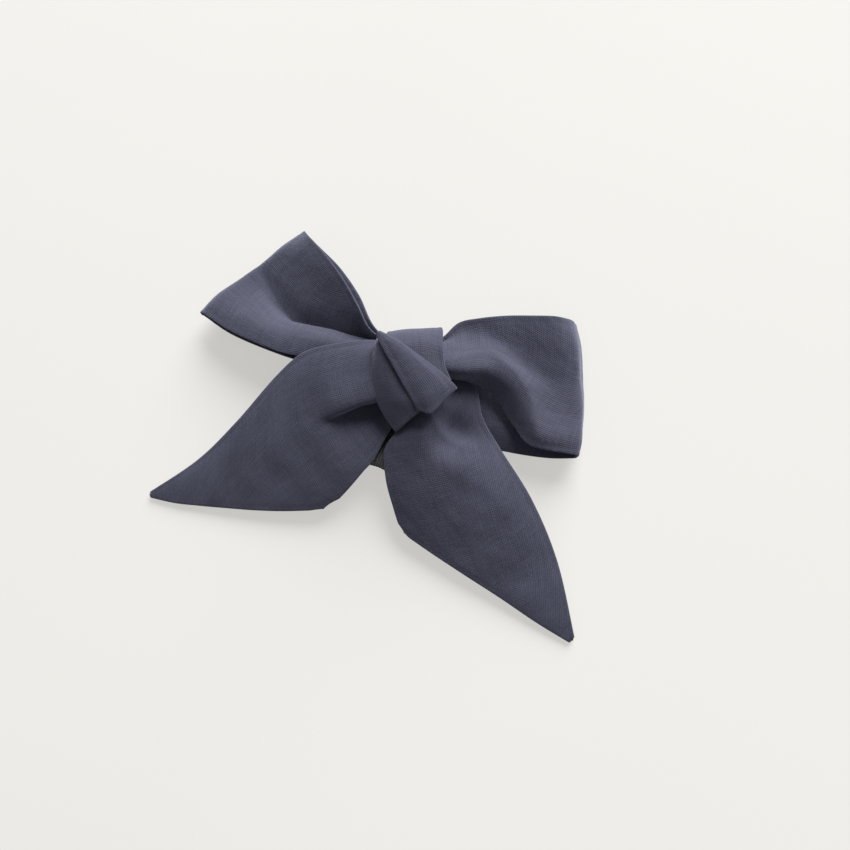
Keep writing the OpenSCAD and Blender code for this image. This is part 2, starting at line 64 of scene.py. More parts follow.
# Nets of the cloth: rows run along the strip, points run across it, as in the CAD source.
# The loops start at the knot, run along the front, round the outer fold and back behind.
LEFT_LOOP = [
    [(-5, 4.5, 12.5), (-5, 4, 12.2), (-5, 3.3, 11.8), (-5, 2.5, 11.5), (-5, 1.5, 12.3), (-5, -1, 12),
     (-5, -4, 11)],
    [(-14.5, 6.3, 14), (-14.4, 5.6, 12.4), (-14.2, 4.8, 10.8), (-13.7, 3.3, 9.6), (-13.6, 3.4, 11.2),
     (-13, 0.5, 13.2), (-13, -4, 11.5)],
    [(-21.6, 12.4, 14.5), (-21.5, 9.6, 12.5), (-21.8, 6.3, 10.2), (-21.9, 2, 8.4), (-21.2, 2.6, 11),
     (-21, -1.5, 13.7), (-21.5, -6.5, 11.5)],
    [(-29, 18.4, 14), (-29.2, 13.8, 12), (-29.6, 8.3, 9.6), (-30.3, 0.6, 7.2), (-29.6, 2, 10.8),
     (-30, -2, 13.6), (-31, -8.5, 12.6)],
    [(-37.4, 23.8, 13.4), (-37.6, 17.5, 11.4), (-38.3, 9.7, 8.6), (-39.3, 0.6, 6.4), (-38.5, 0.5, 10.6),
     (-38.8, -3.6, 12.7), (-40, -10, 12.4)],
    [(-43.5, 27, 12), (-44.8, 20, 10.2), (-46.5, 12.5, 8), (-48.6, 4.2, 6), (-47.4, 0, 9.8),
     (-48, -4.2, 12), (-50, -10, 12)],
    [(-47.2, 28.8, 10.4), (-50.6, 21.5, 8.8), (-53.6, 14.5, 7), (-55.8, 8.4, 6), (-56.4, 2.4, 8.6),
     (-57.6, -3.6, 11), (-60, -9.2, 10.8)],
    [(-49.7, 30.2, 8), (-54.4, 23.3, 7.2), (-58.6, 16.6, 6.2), (-62, 10.9, 6.2), (-66, 4.1, 7.6),
     (-69.4, -2.4, 8.6), (-71.8, -6.8, 8.2)],
    [(-50.6, 30.7, 5.2), (-55.5, 23.8, 5), (-59.9, 17, 4.5), (-63.4, 11.2, 4.5), (-67.5, 4.3, 5.3),
     (-70.8, -2.3, 6.2), (-72.6, -7.2, 6.6)],
    [(-49.6, 30, 3.8), (-54.7, 22.2, 3.4), (-59.2, 14.6, 3), (-63.2, 7.8, 2.7), (-67, 1, 3),
     (-69.7, -4, 4.6), (-71.4, -7.3, 6.2)],
    [(-44, 27.6, 4), (-46.5, 19.5, 3.2), (-49.2, 11.2, 2.8), (-52, 3.5, 2.7), (-54.8, -2.4, 2.8),
     (-57, -6.2, 4.4), (-58.8, -10, 8.6)],
    [(-34.5, 23.2, 5), (-35.5, 16, 4), (-37, 9, 3.5), (-38.5, 3, 3.3), (-39.5, -2, 3.2),
     (-40.3, -6.4, 4.6), (-40.6, -10.6, 9.8)],
    [(-24.5, 16.5, 6.8), (-25, 12, 6), (-25.7, 7.5, 5.5), (-26.5, 3, 5.3), (-27.2, -1, 4.8),
     (-28, -5.5, 5), (-28.5, -9.4, 8.6)],
    [(-15.5, 8.5, 9.5), (-15.3, 7, 8.8), (-15, 4.8, 8.3), (-14.8, 2.5, 8), (-14.7, 0, 7.8),
     (-14.8, -3.5, 7.6), (-15, -7, 7.2)],
    [(-5, 4, 9.5), (-5, 3.3, 9.3), (-5, 2.5, 9.1), (-5, 1, 9), (-5, -1, 8.8), (-5, -3, 8.6),
     (-5, -5, 8.3)],
]
RIGHT_LOOP = [
    [(5, 8, 13), (5, 7, 14), (5, 6, 15), (5, 5, 15.5), (5, 3.5, 15.5), (5, 2, 15), (5, 0.5, 14)],
    [(8, 12.5, 12.2), (8.5, 10.8, 12), (9.3, 9, 14.2), (10.2, 6.7, 16.2), (11.4, 4.2, 17.8),
     (12.8, 1.9, 17.6), (13.8, 0.6, 14.5)],
    [(11, 18.3, 12), (13, 16, 11.8), (14.4, 13.6, 13), (16, 10.2, 15.4), (17.7, 7, 17.8), (19.4, 3.9, 18),
     (20.3, 2, 14)],
    [(16.7, 21.7, 12.8), (19, 19, 12.2), (20.4, 16.2, 12.4), (21.6, 13.4, 13.8), (22.8, 10.4, 15.6),
     (24.4, 6.4, 16.2), (24.9, 2.4, 12)],
    [(24.4, 25.1, 13.6), (26.3, 20.5, 13), (27.2, 16.8, 12.5), (27.9, 13.6, 13.1), (28.8, 10.6, 14.6),
     (30.6, 5.8, 14), (28.8, 1.4, 9.8)],
    [(32.6, 28, 14), (34.7, 22.4, 12.8), (36, 17.2, 11.4), (36.9, 12.2, 10.6), (37.2, 7.8, 12.2),
     (36.8, 2.4, 12.2), (33.6, -2, 8.8)],
    [(38.2, 30, 13.4), (41.5, 23.8, 12), (43.5, 17.4, 10.4), (44.6, 10.8, 9.1), (44.2, 3.6, 9.9),
     (42.6, -2.2, 10.7), (39, -5.8, 8.2)],
    [(41.6, 31, 11.4), (45.4, 25, 10.6), (48.3, 17.7, 9.4), (50.4, 10.4, 8.3), (51, 3, 8.3),
     (49.2, -4.6, 10.3), (46, -9.4, 9.2)],
    [(43.5, 31.6, 8.8), (47.2, 25.4, 8.8), (50.6, 18.3, 8.2), (53.6, 11, 7.6), (56.2, 3.6, 7.8),
     (58, -2.4, 9), (59, -7.2, 9)],
    [(44.2, 31.8, 5.6), (48, 25.6, 5.4), (51.5, 18.4, 5.2), (54.6, 11, 5.1), (57.4, 3.5, 5.1),
     (59.2, -2.6, 5.4), (59.8, -7.4, 5.6)],
    [(44, 31.5, 3.7), (48, 25, 3.3), (51.5, 18, 3), (53.8, 10.8, 2.8), (56.4, 3.2, 2.7), (58, -3, 2.8),
     (58.6, -8, 3.2)],
    [(35, 30, 4.2), (38, 23.5, 3.3), (41, 16.5, 2.8), (43.7, 9.5, 2.6), (46.3, 2.5, 2.6),
     (48.8, -4.5, 2.8), (50.8, -10.8, 2.6)],
    [(24, 26, 5), (26.5, 20, 4), (29, 13.5, 3.5), (31.5, 7, 3.4), (34.3, 0.2, 4), (37.2, -6.8, 5.4),
     (39.5, -13.3, 3.2)],
    [(16, 22, 7), (18, 17, 6.2), (20.5, 11, 5.8), (23, 5, 6.4), (25.5, -1.5, 7.6), (28.5, -8, 7),
     (31, -14, 4)],
    [(9.8, 16.5, 9), (11.5, 13, 8.6), (13.5, 8.5, 8.4), (15.5, 3.5, 8.8), (17.6, -0.5, 9.6),
     (19.8, -4.5, 9.4), (21, -10, 7)],
    [(5, 7, 9.5), (5, 6, 9.3), (5, 4.5, 9.2), (5, 2, 9), (5, -0.5, 8.8), (5, -3, 8.5), (5, -5, 8.3)],
]
# The pleat of the left tail: its crest is the fourth point, tucked back at the fifth.
LEFT_TAIL = [
    [(-4, 3.5, 14), (-4.5, 1, 15), (-4.5, -3, 15.5), (-3, -8, 15.3), (-3.5, -6.5, 11.5), (-2, -9, 11),
     (0, -11, 11.2), (2, -12.5, 11.5)],
    [(-11.5, 3.6, 14.5), (-10.5, 0, 15.8), (-9, -5.5, 16.2), (-4, -13.2, 15.8), (-3.2, -11.5, 10),
     (-2, -14.5, 9), (0.2, -17, 10), (2.8, -19, 11.6)],
    [(-22, -1.3, 14.9), (-19.5, -4.5, 15.4), (-16, -9.5, 15.6), (-10, -17.6, 15.3), (-8.6, -16, 10.2),
     (-6.8, -19.8, 9), (-2.5, -22.4, 10), (2, -24.5, 11.2)],
    [(-32, -7.8, 13.8), (-28.5, -11, 14.2), (-24, -15, 14.2), (-17, -22.8, 13.6), (-15, -23.4, 11),
     (-11.5, -25.8, 10), (-5.5, -28.5, 10.4), (1, -31.5, 10.6)],
    [(-38.5, -18, 11.4), (-34, -20.5, 12), (-28.5, -23.5, 12.1), (-22, -27.2, 11.9), (-18, -29, 11.2),
     (-13.5, -31, 10.6), (-7, -34, 10.3), (-0.8, -36, 10)],
    [(-46.5, -36.5, 7.8), (-41, -37.2, 8.5), (-35, -38, 9), (-29, -38.8, 9), (-23, -39.5, 8.7),
     (-16.5, -40.5, 8.6), (-9.5, -41.5, 8.6), (-3.2, -42, 8.4)],
    [(-55.5, -53, 4), (-49, -52, 5), (-42, -51, 5.6), (-35, -50.3, 6), (-27.5, -49.8, 6), (-20, -49, 6.2),
     (-12.5, -48.2, 6.4), (-5.8, -47.5, 6.4)],
    [(-69.3, -70.8, 1), (-58.5, -69, 1.5), (-49.5, -66.5, 2), (-40.5, -63.8, 2.6), (-31.5, -61, 3.2),
     (-23, -58, 3.8), (-14.5, -54.5, 4.4), (-8.2, -51.8, 5)],
]
RIGHT_TAIL = [
    [(8, -1, 12.5), (8, -3, 13.5), (7, -6, 14), (5.5, -8, 14), (4, -10, 13.3), (2.5, -12, 12.2)],
    [(21.5, 1.8, 10), (19.2, -3.5, 11.8), (16.2, -7.6, 13), (13.2, -10, 13.6), (10.4, -12.4, 13.6),
     (6.6, -14.2, 12.4)],
    [(28.6, -7.2, 10.4), (25.2, -10.4, 10.2), (20.8, -13.6, 11.4), (15.5, -17, 15.2), (10.5, -19, 15),
     (5.4, -21, 13.6)],
    [(37.3, -14.3, 9.5), (32.5, -18, 11.2), (26.5, -21.5, 13.2), (18.5, -24, 13.4), (11, -26, 13),
     (4, -27.5, 12.2)],
    [(52, -25.5, 7), (43.5, -29.5, 9), (34.5, -32.5, 10), (25.5, -34.5, 10.3), (16, -35.5, 10.4),
     (7.5, -36, 10)],
    [(66, -40.5, 4), (55, -43, 5.3), (44, -44, 6.2), (33.5, -44.5, 6.7), (22.5, -44.5, 6.8),
     (12.5, -43.5, 7)],
    [(80.2, -62, 1), (66.5, -59.8, 1.8), (53.5, -57, 2.7), (40.5, -54.5, 3.6), (28, -52, 4.2),
     (17, -49.5, 4.8)],
]
KNOT_BAND = [
    [(-8, -2, 7.2), (-3, -1, 7), (3, 1, 6.9), (8, 3, 7)],
    [(-8.5, 4, 8), (-3, 6, 7.4), (3, 9, 7.2), (7.5, 10.5, 7.8)],
    [(-8.5, 7, 12.5), (-3, 10, 12.5), (2.2, 12.2, 12.5), (6.2, 14.2, 12.5)],
    [(-8, 6.8, 17.5), (-3, 9, 18.1), (2, 11.2, 17.9), (7.6, 13.6, 16.9)],
    [(-7, 2.5, 20.8), (-1, 5, 21.4), (4.5, 7.5, 21.1), (10, 8.8, 19.8)],
    [(-4, -2.5, 20.8), (2, -0.5, 21.5), (7.5, 2, 21.2), (12.4, 3.8, 19.4)],
    [(0, -7, 19.8), (5, -5, 20.8), (10.5, -2.5, 20.5), (16, -0.2, 18)],
]
KNOT_UNDERWRAP = [
    [(-10.5, 5.6, 17), (-9.8, 5.8, 18.5), (-9, 5.8, 19.8), (-8, 5.8, 20.6)],
    [(-10.4, 2, 17.2), (-8.8, 1.8, 19.6), (-6.5, 2, 21.2), (-3.5, 2.6, 21.8)],
    [(-9.4, -3.2, 16.8), (-7, -3.2, 19.4), (-3.5, -3, 21.2), (0.5, -2, 21.9)],
    [(-7, -9, 16.2), (-3.8, -8.8, 18.8), (0, -8, 20.9), (4.8, -6, 21.7)],
    [(-3.4, -14, 16), (0.2, -13.2, 18.4), (4, -11.8, 20.3), (8.3, -9, 21.2)],
    [(0.8, -17.8, 15.4), (3.6, -16.4, 17.3), (6.8, -14.2, 18.9), (10.5, -11.2, 20.2)],
    [(5.3, -20.7, 15), (6.9, -18.6, 16.6), (8.8, -15.6, 18.2), (11.2, -12.2, 19.7)],
]
# The flap's free end lies closer to the band than its CAD solid does.
KNOT_FLAP = [
    [(-10.3, 5, 21), (-10.1, 5.3, 21.3), (-9.9, 5.6, 21.4), (-9.6, 5.9, 21.2)],
    [(-6.5, 1.6, 22.4), (-5.2, 3.2, 23), (-4, 4.5, 23.1), (-2.8, 5, 22.6)],
    [(-1.8, -2.1, 22.9), (0.3, 0.4, 23.5), (2, 2.4, 23.4), (3.5, 3.3, 22.5)],
    [(3.5, -6.6, 22.5), (6.5, -3.5, 23), (9, -0.5, 22.8), (11, 1.2, 21.5)],
    [(8, -10.2, 21.4), (11.5, -7.5, 22), (14, -3.5, 21.6), (15.8, -0.5, 20.3)],
    [(10.5, -12.4, 20.3), (14.6, -11.8, 20.2), (16.6, -6.8, 20), (18.9, -2, 19.1)],
]


# ---------------------------------------------------------------- smooth sheets through a net
def spline(points, s):
    """Points at s, from 0 to 1, on Catmull-Rom curves through the first axis of points."""
    p = np.concatenate([[2 * points[0] - points[1]], points, [2 * points[-1] - points[-2]]])
    last = len(points) - 1
    x = np.clip(s, 0, 1) * last
    i = np.minimum(x.astype(int), last - 1)
    t = (x - i).reshape(-1, *[1] * (points.ndim - 1))
    a, b, c, d = (p[i + k] for k in range(4))
    return 0.5 * (2 * b + (c - a) * t + (2 * a - 5 * b + 4 * c - d) * t**2 + (3 * b - a - 3 * c + d) * t**3)


def even(grid_line):
    """Parameters, from 0 to 1, that space the points of a line evenly."""
    steps = np.linalg.norm(np.diff(grid_line, axis=0), axis=1)
    return np.concatenate([[0], np.cumsum(steps)]) / max(steps.sum(), 1e-9)


def evaluate(net, along, across):
    """Points of the sheet through net at the given parameters along and across it."""
    net = np.array(net, float)
    rows = spline(net, along)
    return spline(rows.transpose(1, 0, 2), across).transpose(1, 0, 2)


def sheet_grid(net, cell):
    """Grid of points on the sheet through net, with cells of about cell millimetres."""
    middle = 120
    fine = np.linspace(0, 1, 2 * middle + 1)
    draft = evaluate(net, fine, fine)
    length = np.linalg.norm(np.diff(draft, axis=0), axis=2).sum(0).mean()
    width = np.linalg.norm(np.diff(draft, axis=1), axis=2).sum(1).max()
    nu, nv = max(8, round(length / cell)), max(8, round(width / cell))
    along = np.interp(np.linspace(0, 1, nu + 1), even(draft[:, middle]), fine)
    widest = draft[np.linalg.norm(np.diff(draft, axis=1), axis=2).sum(1).argmax()]
    across = np.interp(np.linspace(0, 1, nv + 1), even(widest), fine)
    return evaluate(net, along, across)


def normals(g):
    """Unit normals of the grid g, all on the same side of the cloth."""
    du, dv = np.gradient(g, axis=0), np.gradient(g, axis=1)
    n = np.cross(du, dv)
    return n / np.maximum(np.linalg.norm(n, axis=2, keepdims=True), 1e-9)


def lengths(g):
    """Distance along each column from the first row, and across each row from the middle."""
    along = np.zeros(g.shape[:2])
    across = np.zeros(g.shape[:2])
    along[1:] = np.cumsum(np.linalg.norm(np.diff(g, axis=0), axis=2), axis=0)
    across[:, 1:] = np.cumsum(np.linalg.norm(np.diff(g, axis=1), axis=2), axis=1)
    return along, across - across[:, across.shape[1] // 2][:, None]


def edge_distance(g, ends):
    """Distance over the cloth to its nearest free edge; ends says which ends are free."""
    along, across = lengths(g)
    d = np.minimum(across - across[:, :1], across[:, -1:] - across)
    if ends[0]:
        d = np.minimum(d, along)
    if ends[1]:
        d = np.minimum(d, along[-1:] - along)
    return d


def soften_corner(g, i, j, radius, rounds=40):
    """Rounds a corner of the grid by drawing the points round it to their neighbours."""
    near = np.clip(1 - np.linalg.norm(g - g[i, j], axis=2) / radius, 0, 1)[..., None]
    near = near * near * (3 - 2 * near)
    for _ in range(rounds):
        p = np.pad(g, ((1, 1), (1, 1), (0, 0)), mode="edge")
        mean = (p[:-2, 1:-1] + p[2:, 1:-1] + p[1:-1, :-2] + p[1:-1, 2:]) / 4
        g = g + 0.5 * near * (mean - g)
    return g


def dent(g, centre, radius, depth):
    """Presses a round hollow into the sheet from above; a negative depth raises it."""
    d = np.linalg.norm(g[..., :2] - np.array(centre), axis=2) / radius
    g = g.copy()
    g[..., 2] -= depth * np.exp(-(d ** 2.5))
    return g


def crease(g, line, width, depth, above=0.0):
    """Presses a sharp fold along a line into the sheet; it fades out at both ends.

    A negative depth raises a ridge. Points lower than above stay as they are, and those
    over the next soft millimetres follow in part."""
    soft, blunt = 1.5, 0.3
    points = np.array(line, float)
    steps = np.linalg.norm(np.diff(points, axis=0), axis=1)
    starts = np.concatenate(([0], np.cumsum(steps)))
    away, along = np.full(g.shape[:2], np.inf), np.zeros(g.shape[:2])
    for a, b, start, step in zip(points[:-1], points[1:], starts, steps):
        t = np.clip(((g[..., :2] - a) @ (b - a)) / step ** 2, 0, 1)
        d = np.linalg.norm(g[..., :2] - (a + t[..., None] * (b - a)), axis=2)
        nearer = d < away
        away[nearer], along[nearer] = d[nearer], start + t[nearer] * step
    fade = np.sqrt(np.sin(math.pi * np.clip(along / starts[-1], 0, 1)))
    reach = np.exp(-np.sqrt(away ** 2 + blunt ** 2) / width)
    sink = np.clip((g[..., 2] - above) / soft, 0, 1) * fade * reach
    g = g.copy()
    g[..., 2] -= depth * sink
    return g


def ripple(g, seed, size, amount):
    """Soft irregular waves over the cloth, about size millimetres long."""
    waves = 9
    rng = np.random.default_rng(seed)
    along, across = lengths(g)
    h = np.zeros(along.shape)
    for _ in range(waves):
        angle, k = rng.uniform(0, math.pi), 2 * math.pi / (size * rng.uniform(0.7, 1.6))
        phase = rng.uniform(0, 2 * math.pi)
        h += np.sin(k * (along * math.cos(angle) + across * math.sin(angle)) + phase)
    return amount * h / math.sqrt(waves)


# ---------------------------------------------------------------- mesh pieces
def new_object(name, vertices, faces, material, uv=None):
    mesh = bpy.data.meshes.new(name)
    mesh.from_pydata((np.asarray(vertices) * MM).tolist(), [], faces)
    if uv is not None:
        layer = mesh.uv_layers.new(name="strip")
        corners = np.zeros(len(mesh.loops), int)
        mesh.loops.foreach_get("vertex_index", corners)
        layer.data.foreach_set("uv", np.asarray(uv)[corners].astype(np.float32).ravel())
    mesh.shade_smooth()
    mesh.materials.append(material)
    obj = bpy.data.objects.new(name, mesh)
    bpy.context.scene.collection.objects.link(obj)
    return obj


def thickness(d):
    """Thickness of the turned strip at distance d from a pressed edge: thin at the edge, a slight
    dip where the turned seam ends, and the soft double layer beyond."""
    rise = 1 - np.exp(-d / PRESSED)
    dip = SEAM_DIP * np.exp(-(((d - SEAM_IN) / SEAM_HALF) ** 2))
    return EDGE_T + (CLOTH_T - EDGE_T) * rise - dip


def cloth(name, grid, material, thick):
    """A closed layer round the grid, thick at each point as given, with rounded edges."""
    n = normals(grid)
    half = thick[..., None] / 2
    front, back = grid + n * half, grid - n * half
    nu, nv = grid.shape[0] - 1, grid.shape[1] - 1
    index = np.arange((nu + 1) * (nv + 1)).reshape(nu + 1, nv + 1)
    side = index.size
    a, b, c, d = index[:-1, :-1], index[:-1, 1:], index[1:, 1:], index[1:, :-1]
    quads = np.stack([a, d, c, b], axis=-1).reshape(-1, 4)
    faces = np.concatenate([quads, quads[:, ::-1] + side])
    rim = np.concatenate([index[0, :-1], index[:-1, -1], index[-1, :0:-1], index[:0:-1, 0]])
    du, dv = np.gradient(grid, axis=0), np.gradient(grid, axis=1)
    out = np.zeros_like(grid)
    for edge, way in ((np.s_[0, :], -du), (np.s_[-1, :], du), (np.s_[:, 0], -dv), (np.s_[:, -1], dv)):
        w = way[edge]
        out[edge] += w / np.maximum(np.linalg.norm(w, axis=-1, keepdims=True), 1e-9)
    out /= np.maximum(np.linalg.norm(out, axis=2, keepdims=True), 1e-9)
    flat = lambda x: x.reshape(-1, x.shape[-1])
    f, k, o = flat(front)[rim], flat(back)[rim], flat(out)[rim]
    vertices = [flat(front), flat(back)]
    rings = [rim]
    count = 2 * side
    for step in range(1, RIM_STEPS):
        turn = math.pi * step / RIM_STEPS
        r = np.linalg.norm(f - k, axis=1, keepdims=True) / 2
        vertices.append((f + k) / 2 + math.cos(turn) * (f - k) / 2 + math.sin(turn) * r * o)
        rings.append(np.arange(count, count + len(rim)))
        count += len(rim)
    rings.append(rim + side)
    for upper, lower in zip(rings[:-1], rings[1:]):
        band = np.stack([upper, np.roll(upper, -1), np.roll(lower, -1), lower], axis=-1)
        faces = np.concatenate([faces, band])
    along, across = lengths(grid)
    uv = np.stack([along, across], axis=-1).reshape(-1, 2) / UV_UNIT
    uv = np.concatenate([uv, uv] + [uv[rim]] * (RIM_STEPS - 1))
    return new_object(name, np.concatenate(vertices), faces.tolist(), material, uv)


def closed_grid(name, rings, material, uv=None):
    """A closed piece through rings of points, all of one length, capped at both ends."""
    count, sides = rings.shape[:2]
    index = np.arange(count * sides).reshape(count, sides)
    a, b = index[:-1], np.roll(index[:-1], -1, axis=1)
    c, d = np.roll(index[1:], -1, axis=1), index[1:]
    faces = np.stack([a, b, c, d], axis=-1).reshape(-1, 4).tolist()
    faces.append(index[0, ::-1].tolist())
    faces.append(index[-1].tolist())
    return new_object(name, rings.reshape(-1, 3), faces, material, uv)


def smooth_path(points, step):
    """Evenly spaced points, about step apart, on the curve through points."""
    fine = spline(np.array(points, float), np.linspace(0, 1, 40 * len(points)))
    place = even(fine)
    count = max(2, round(np.linalg.norm(np.diff(fine, axis=0), axis=1).sum() / step))
    s = np.linspace(0, 1, count + 1)
    return np.stack([np.interp(s, place, fine[:, k]) for k in range(3)], axis=-1)


def tube(name, path, radius, sides, material):
    """Round wire or thread of the given radius along path, with rounded ends."""
    d = np.gradient(path, axis=0)
    d /= np.linalg.norm(d, axis=1, keepdims=True)
    side = np.zeros_like(path)
    side[0] = np.cross(d[0], (0.3, 0.2, 1.0))
    for i in range(1, len(path)):
        side[i] = side[i - 1] - d[i] * np.dot(side[i - 1], d[i])
    side /= np.linalg.norm(side, axis=1, keepdims=True)
    up = np.cross(d, side)
    turn = np.linspace(0, 2 * math.pi, sides, endpoint=False)[:, None]
    ring = lambda i, r, push: path[i] + push * d[i] + r * (np.cos(turn) * side[i] + np.sin(turn) * up[i])
    cap = np.linspace(0.15, 1, 5) * math.pi / 2
    start = [ring(0, radius * math.sin(a), -radius * math.cos(a)) for a in cap[:-1]]
    end = [ring(-1, radius * math.sin(a), radius * math.cos(a)) for a in cap[-2::-1]]
    rings = np.array(start + [ring(i, radius, 0.0) for i in range(len(path))] + end)
    middle = rings.mean(1)
    run = np.concatenate([[0], np.cumsum(np.linalg.norm(np.diff(middle, axis=0), axis=1))])
    around = np.linspace(0, 2 * math.pi * radius, sides, endpoint=False)
    uv = np.stack(np.meshgrid(run, around, indexing="ij"), axis=-1).reshape(-1, 2) / UV_UNIT
    return closed_grid(name, rings, material, uv)


# ---------------------------------------------------------------- materials
class Nodes:
    """A short way to write a material's node tree."""

    def __init__(self, name):
        self.material = bpy.data.materials.new(name)
        self.material.use_nodes = True
        self.tree = self.material.node_tree
        self.shader = self.tree.nodes["Principled BSDF"]

    def add(self, kind, settings=None, **inputs):
        """Adds a node; an input is named, with _ for a space, or numbered, such as i0."""
        node = self.tree.nodes.new("ShaderNode" + kind)
        for key, value in (settings or {}).items():
            setattr(node, key, value)
        for key, value in inputs.items():
            numbered = key[0] == "i" and key[1:].isdigit()
            self.set(node.inputs[int(key[1:]) if numbered else key.replace("_", " ")], value)
        return node

    def set(self, socket, value):
        if isinstance(value, bpy.types.NodeSocket):
            self.tree.links.new(value, socket)
        else:
            socket.default_value = value

    def math(self, operation, a, b=0.0, c=0.0):
        return self.add("Math", {"operation": operation}, i0=a, i1=b, i2=c).outputs[0]

    def noise(self, vector, scale, detail=2.0, roughness=0.5):
        node = self.add("TexNoise", {"noise_dimensions": "3D"}, Vector=vector, Scale=scale,
                        Detail=detail, Roughness=roughness)
        return node.outputs["Fac"]

    def stretched(self, vector, scale):
        return self.add("Mapping", {"vector_type": "POINT"}, Vector=vector, Scale=scale).outputs[0]

    def ramp(self, factor, stops):
        node = self.add("ValToRGB", None, Fac=factor)
        while len(node.color_ramp.elements) < len(stops):
            node.color_ramp.elements.new(0.5)
        for element, (at, colour) in zip(node.color_ramp.elements, stops):
            element.position = at
            element.color = (*colour, 1)
        return node.outputs["Color"]

    def bump(self, height, strength, distance, normal=None):
        node = self.add("Bump", None, Height=height, Strength=strength, Distance=distance)
        if normal is not None:
            self.set(node.inputs["Normal"], normal)
        return node.outputs["Normal"]

    def principled(self, **values):
        for key, value in values.items():
            self.set(self.shader.inputs[key.replace("_", " ")], value)
        return self.material


THREADS = 17.0        # threads in 10 mm of linen


def linen_material(name, dark, light):
    """Plain-weave linen on the strip coordinates (10 mm to a unit), with slubs in both threads."""
    m = Nodes(name)
    uv = m.add("UVMap", {"uv_map": "strip"}).outputs["UV"]
    axes = m.add("SeparateXYZ", None, Vector=uv)
    drift = m.noise(uv, 0.9, 2.0)
    along = m.math("MULTIPLY_ADD", drift, 0.06, axes.outputs["X"])
    across = m.math("MULTIPLY_ADD", drift, -0.05, axes.outputs["Y"])
    warp_slub = m.noise(m.stretched(uv, (0.9, THREADS, 1.0)), 1.0, 3.0, 0.6)
    weft_slub = m.noise(m.stretched(uv, (THREADS, 0.9, 1.0)), 1.0, 3.0, 0.6)
    su = m.math("SINE", m.math("MULTIPLY", along, math.pi * THREADS))
    sv = m.math("SINE", m.math("MULTIPLY", across, math.pi * THREADS))
    crossing = m.math("MULTIPLY", su, sv)
    over = m.math("GREATER_THAN", crossing, 0.0)
    cell = m.math("POWER", m.math("ABSOLUTE", crossing), 0.45)
    thread = m.add("Mix", {"data_type": "FLOAT"}, i0=over, i2=weft_slub, i3=warp_slub).outputs[0]
    height = m.math("MULTIPLY", cell, m.math("MULTIPLY_ADD", thread, 1.3, 0.25))
    tone = m.math("MULTIPLY_ADD", thread, 0.75, m.math("MULTIPLY", cell, 0.2))
    mottle = m.noise(uv, 0.35, 3.0)
    tone = m.math("MULTIPLY_ADD", mottle, 0.3, m.math("SUBTRACT", tone, 0.15))
    colour = m.ramp(tone, [(0.2, dark), (0.8, light)])
    fuzz = m.noise(uv, 60.0, 2.0)
    wrinkle = m.noise(uv, 1.6, 4.0, 0.55)
    rough = m.math("MULTIPLY_ADD", thread, -0.12, 0.95)
    soft = m.bump(wrinkle, 0.35, 0.0012)
    woven = m.bump(height, 0.6, 0.00016, soft)
    fine = m.bump(fuzz, 0.25, 0.00008, woven)
    return m.principled(Base_Color=colour, Roughness=rough, Normal=fine, Sheen_Weight=0.35,
                        Sheen_Roughness=0.45, Sheen_Tint=(0.72, 0.76, 1.0, 1.0), Specular_IOR_Level=0.25)


def ribbon_material():
    """Near-black ribbed ribbon; its ribs are modelled, and this adds the threads over them."""
    m = Nodes("ribbed_ribbon")
    uv = m.add("UVMap", {"uv_map": "strip"}).outputs["UV"]
    axes = m.add("SeparateXYZ", None, Vector=uv)
    wefts = 28                # threads across the ribbon in 10 mm of its length
    weft = m.math("SINE", m.math("MULTIPLY", axes.outputs["X"], 2 * math.pi * wefts))
    streak = m.noise(m.stretched(uv, (30.0, 2.0, 1.0)), 1.0, 2.0)
    mottle = m.noise(uv, 3.0, 3.0)
    cloudy = m.math("MULTIPLY_ADD", streak, 0.5, m.math("MULTIPLY", mottle, 0.5))
    tone = m.math("MULTIPLY_ADD", weft, 0.12, cloudy)
    colour = m.ramp(tone, [(0.25, (0.010, 0.010, 0.012)), (0.8, (0.030, 0.030, 0.035))])
    normal = m.bump(weft, 0.5, 0.00012)
    normal = m.bump(streak, 0.3, 0.0001, normal)
    rough = m.math("MULTIPLY_ADD", streak, 0.2, 0.45)
    return m.principled(Base_Color=colour, Roughness=rough, Normal=normal, Sheen_Weight=0.2,
                        Sheen_Roughness=0.4)


def steel_material(name, tone, grain, roughness):
    """Nickel-plated steel with rolling grain, faint scratches and duller patches."""
    m = Nodes(name)
    place = m.add("TexCoord").outputs["Object"]
    brushed = m.noise(m.stretched(place, grain), 1.0, 4.0, 0.65)
    patch = m.noise(place, 220.0, 3.0)
    specks = m.noise(place, 2600.0, 2.0)
    shade = m.math("MULTIPLY_ADD", brushed, 0.5, m.math("MULTIPLY", patch, 0.5))
    colour = m.ramp(shade, [(0.3, tuple(0.78 * t for t in tone)), (0.7, tone)])
    rough = m.math("MULTIPLY_ADD", brushed, 0.16, m.math("MULTIPLY_ADD", patch, 0.14, roughness))
    normal = m.bump(brushed, 0.25, 0.00004)
    normal = m.bump(specks, 0.12, 0.00002, normal)
    return m.principled(Base_Color=colour, Roughness=rough, Normal=normal, Metallic=1.0)


def glue_material():
    """Set hot-melt glue: milky, glossy, slightly uneven."""
    m = Nodes("hot_melt_glue")
    place = m.add("TexCoord").outputs["Object"]
    cloud = m.noise(place, 300.0, 4.0)
    colour = m.ramp(cloud, [(0.3, (0.36, 0.33, 0.26)), (0.75, (0.46, 0.43, 0.36))])
    normal = m.bump(m.noise(place, 700.0, 3.0), 0.4, 0.0002)
    rough = m.math("MULTIPLY_ADD", cloud, 0.2, 0.18)
    return m.principled(Base_Color=colour, Roughness=rough, Normal=normal, Subsurface_Weight=0.3,
                        Subsurface_Radius=(0.002, 0.002, 0.0015), Subsurface_Scale=0.5)


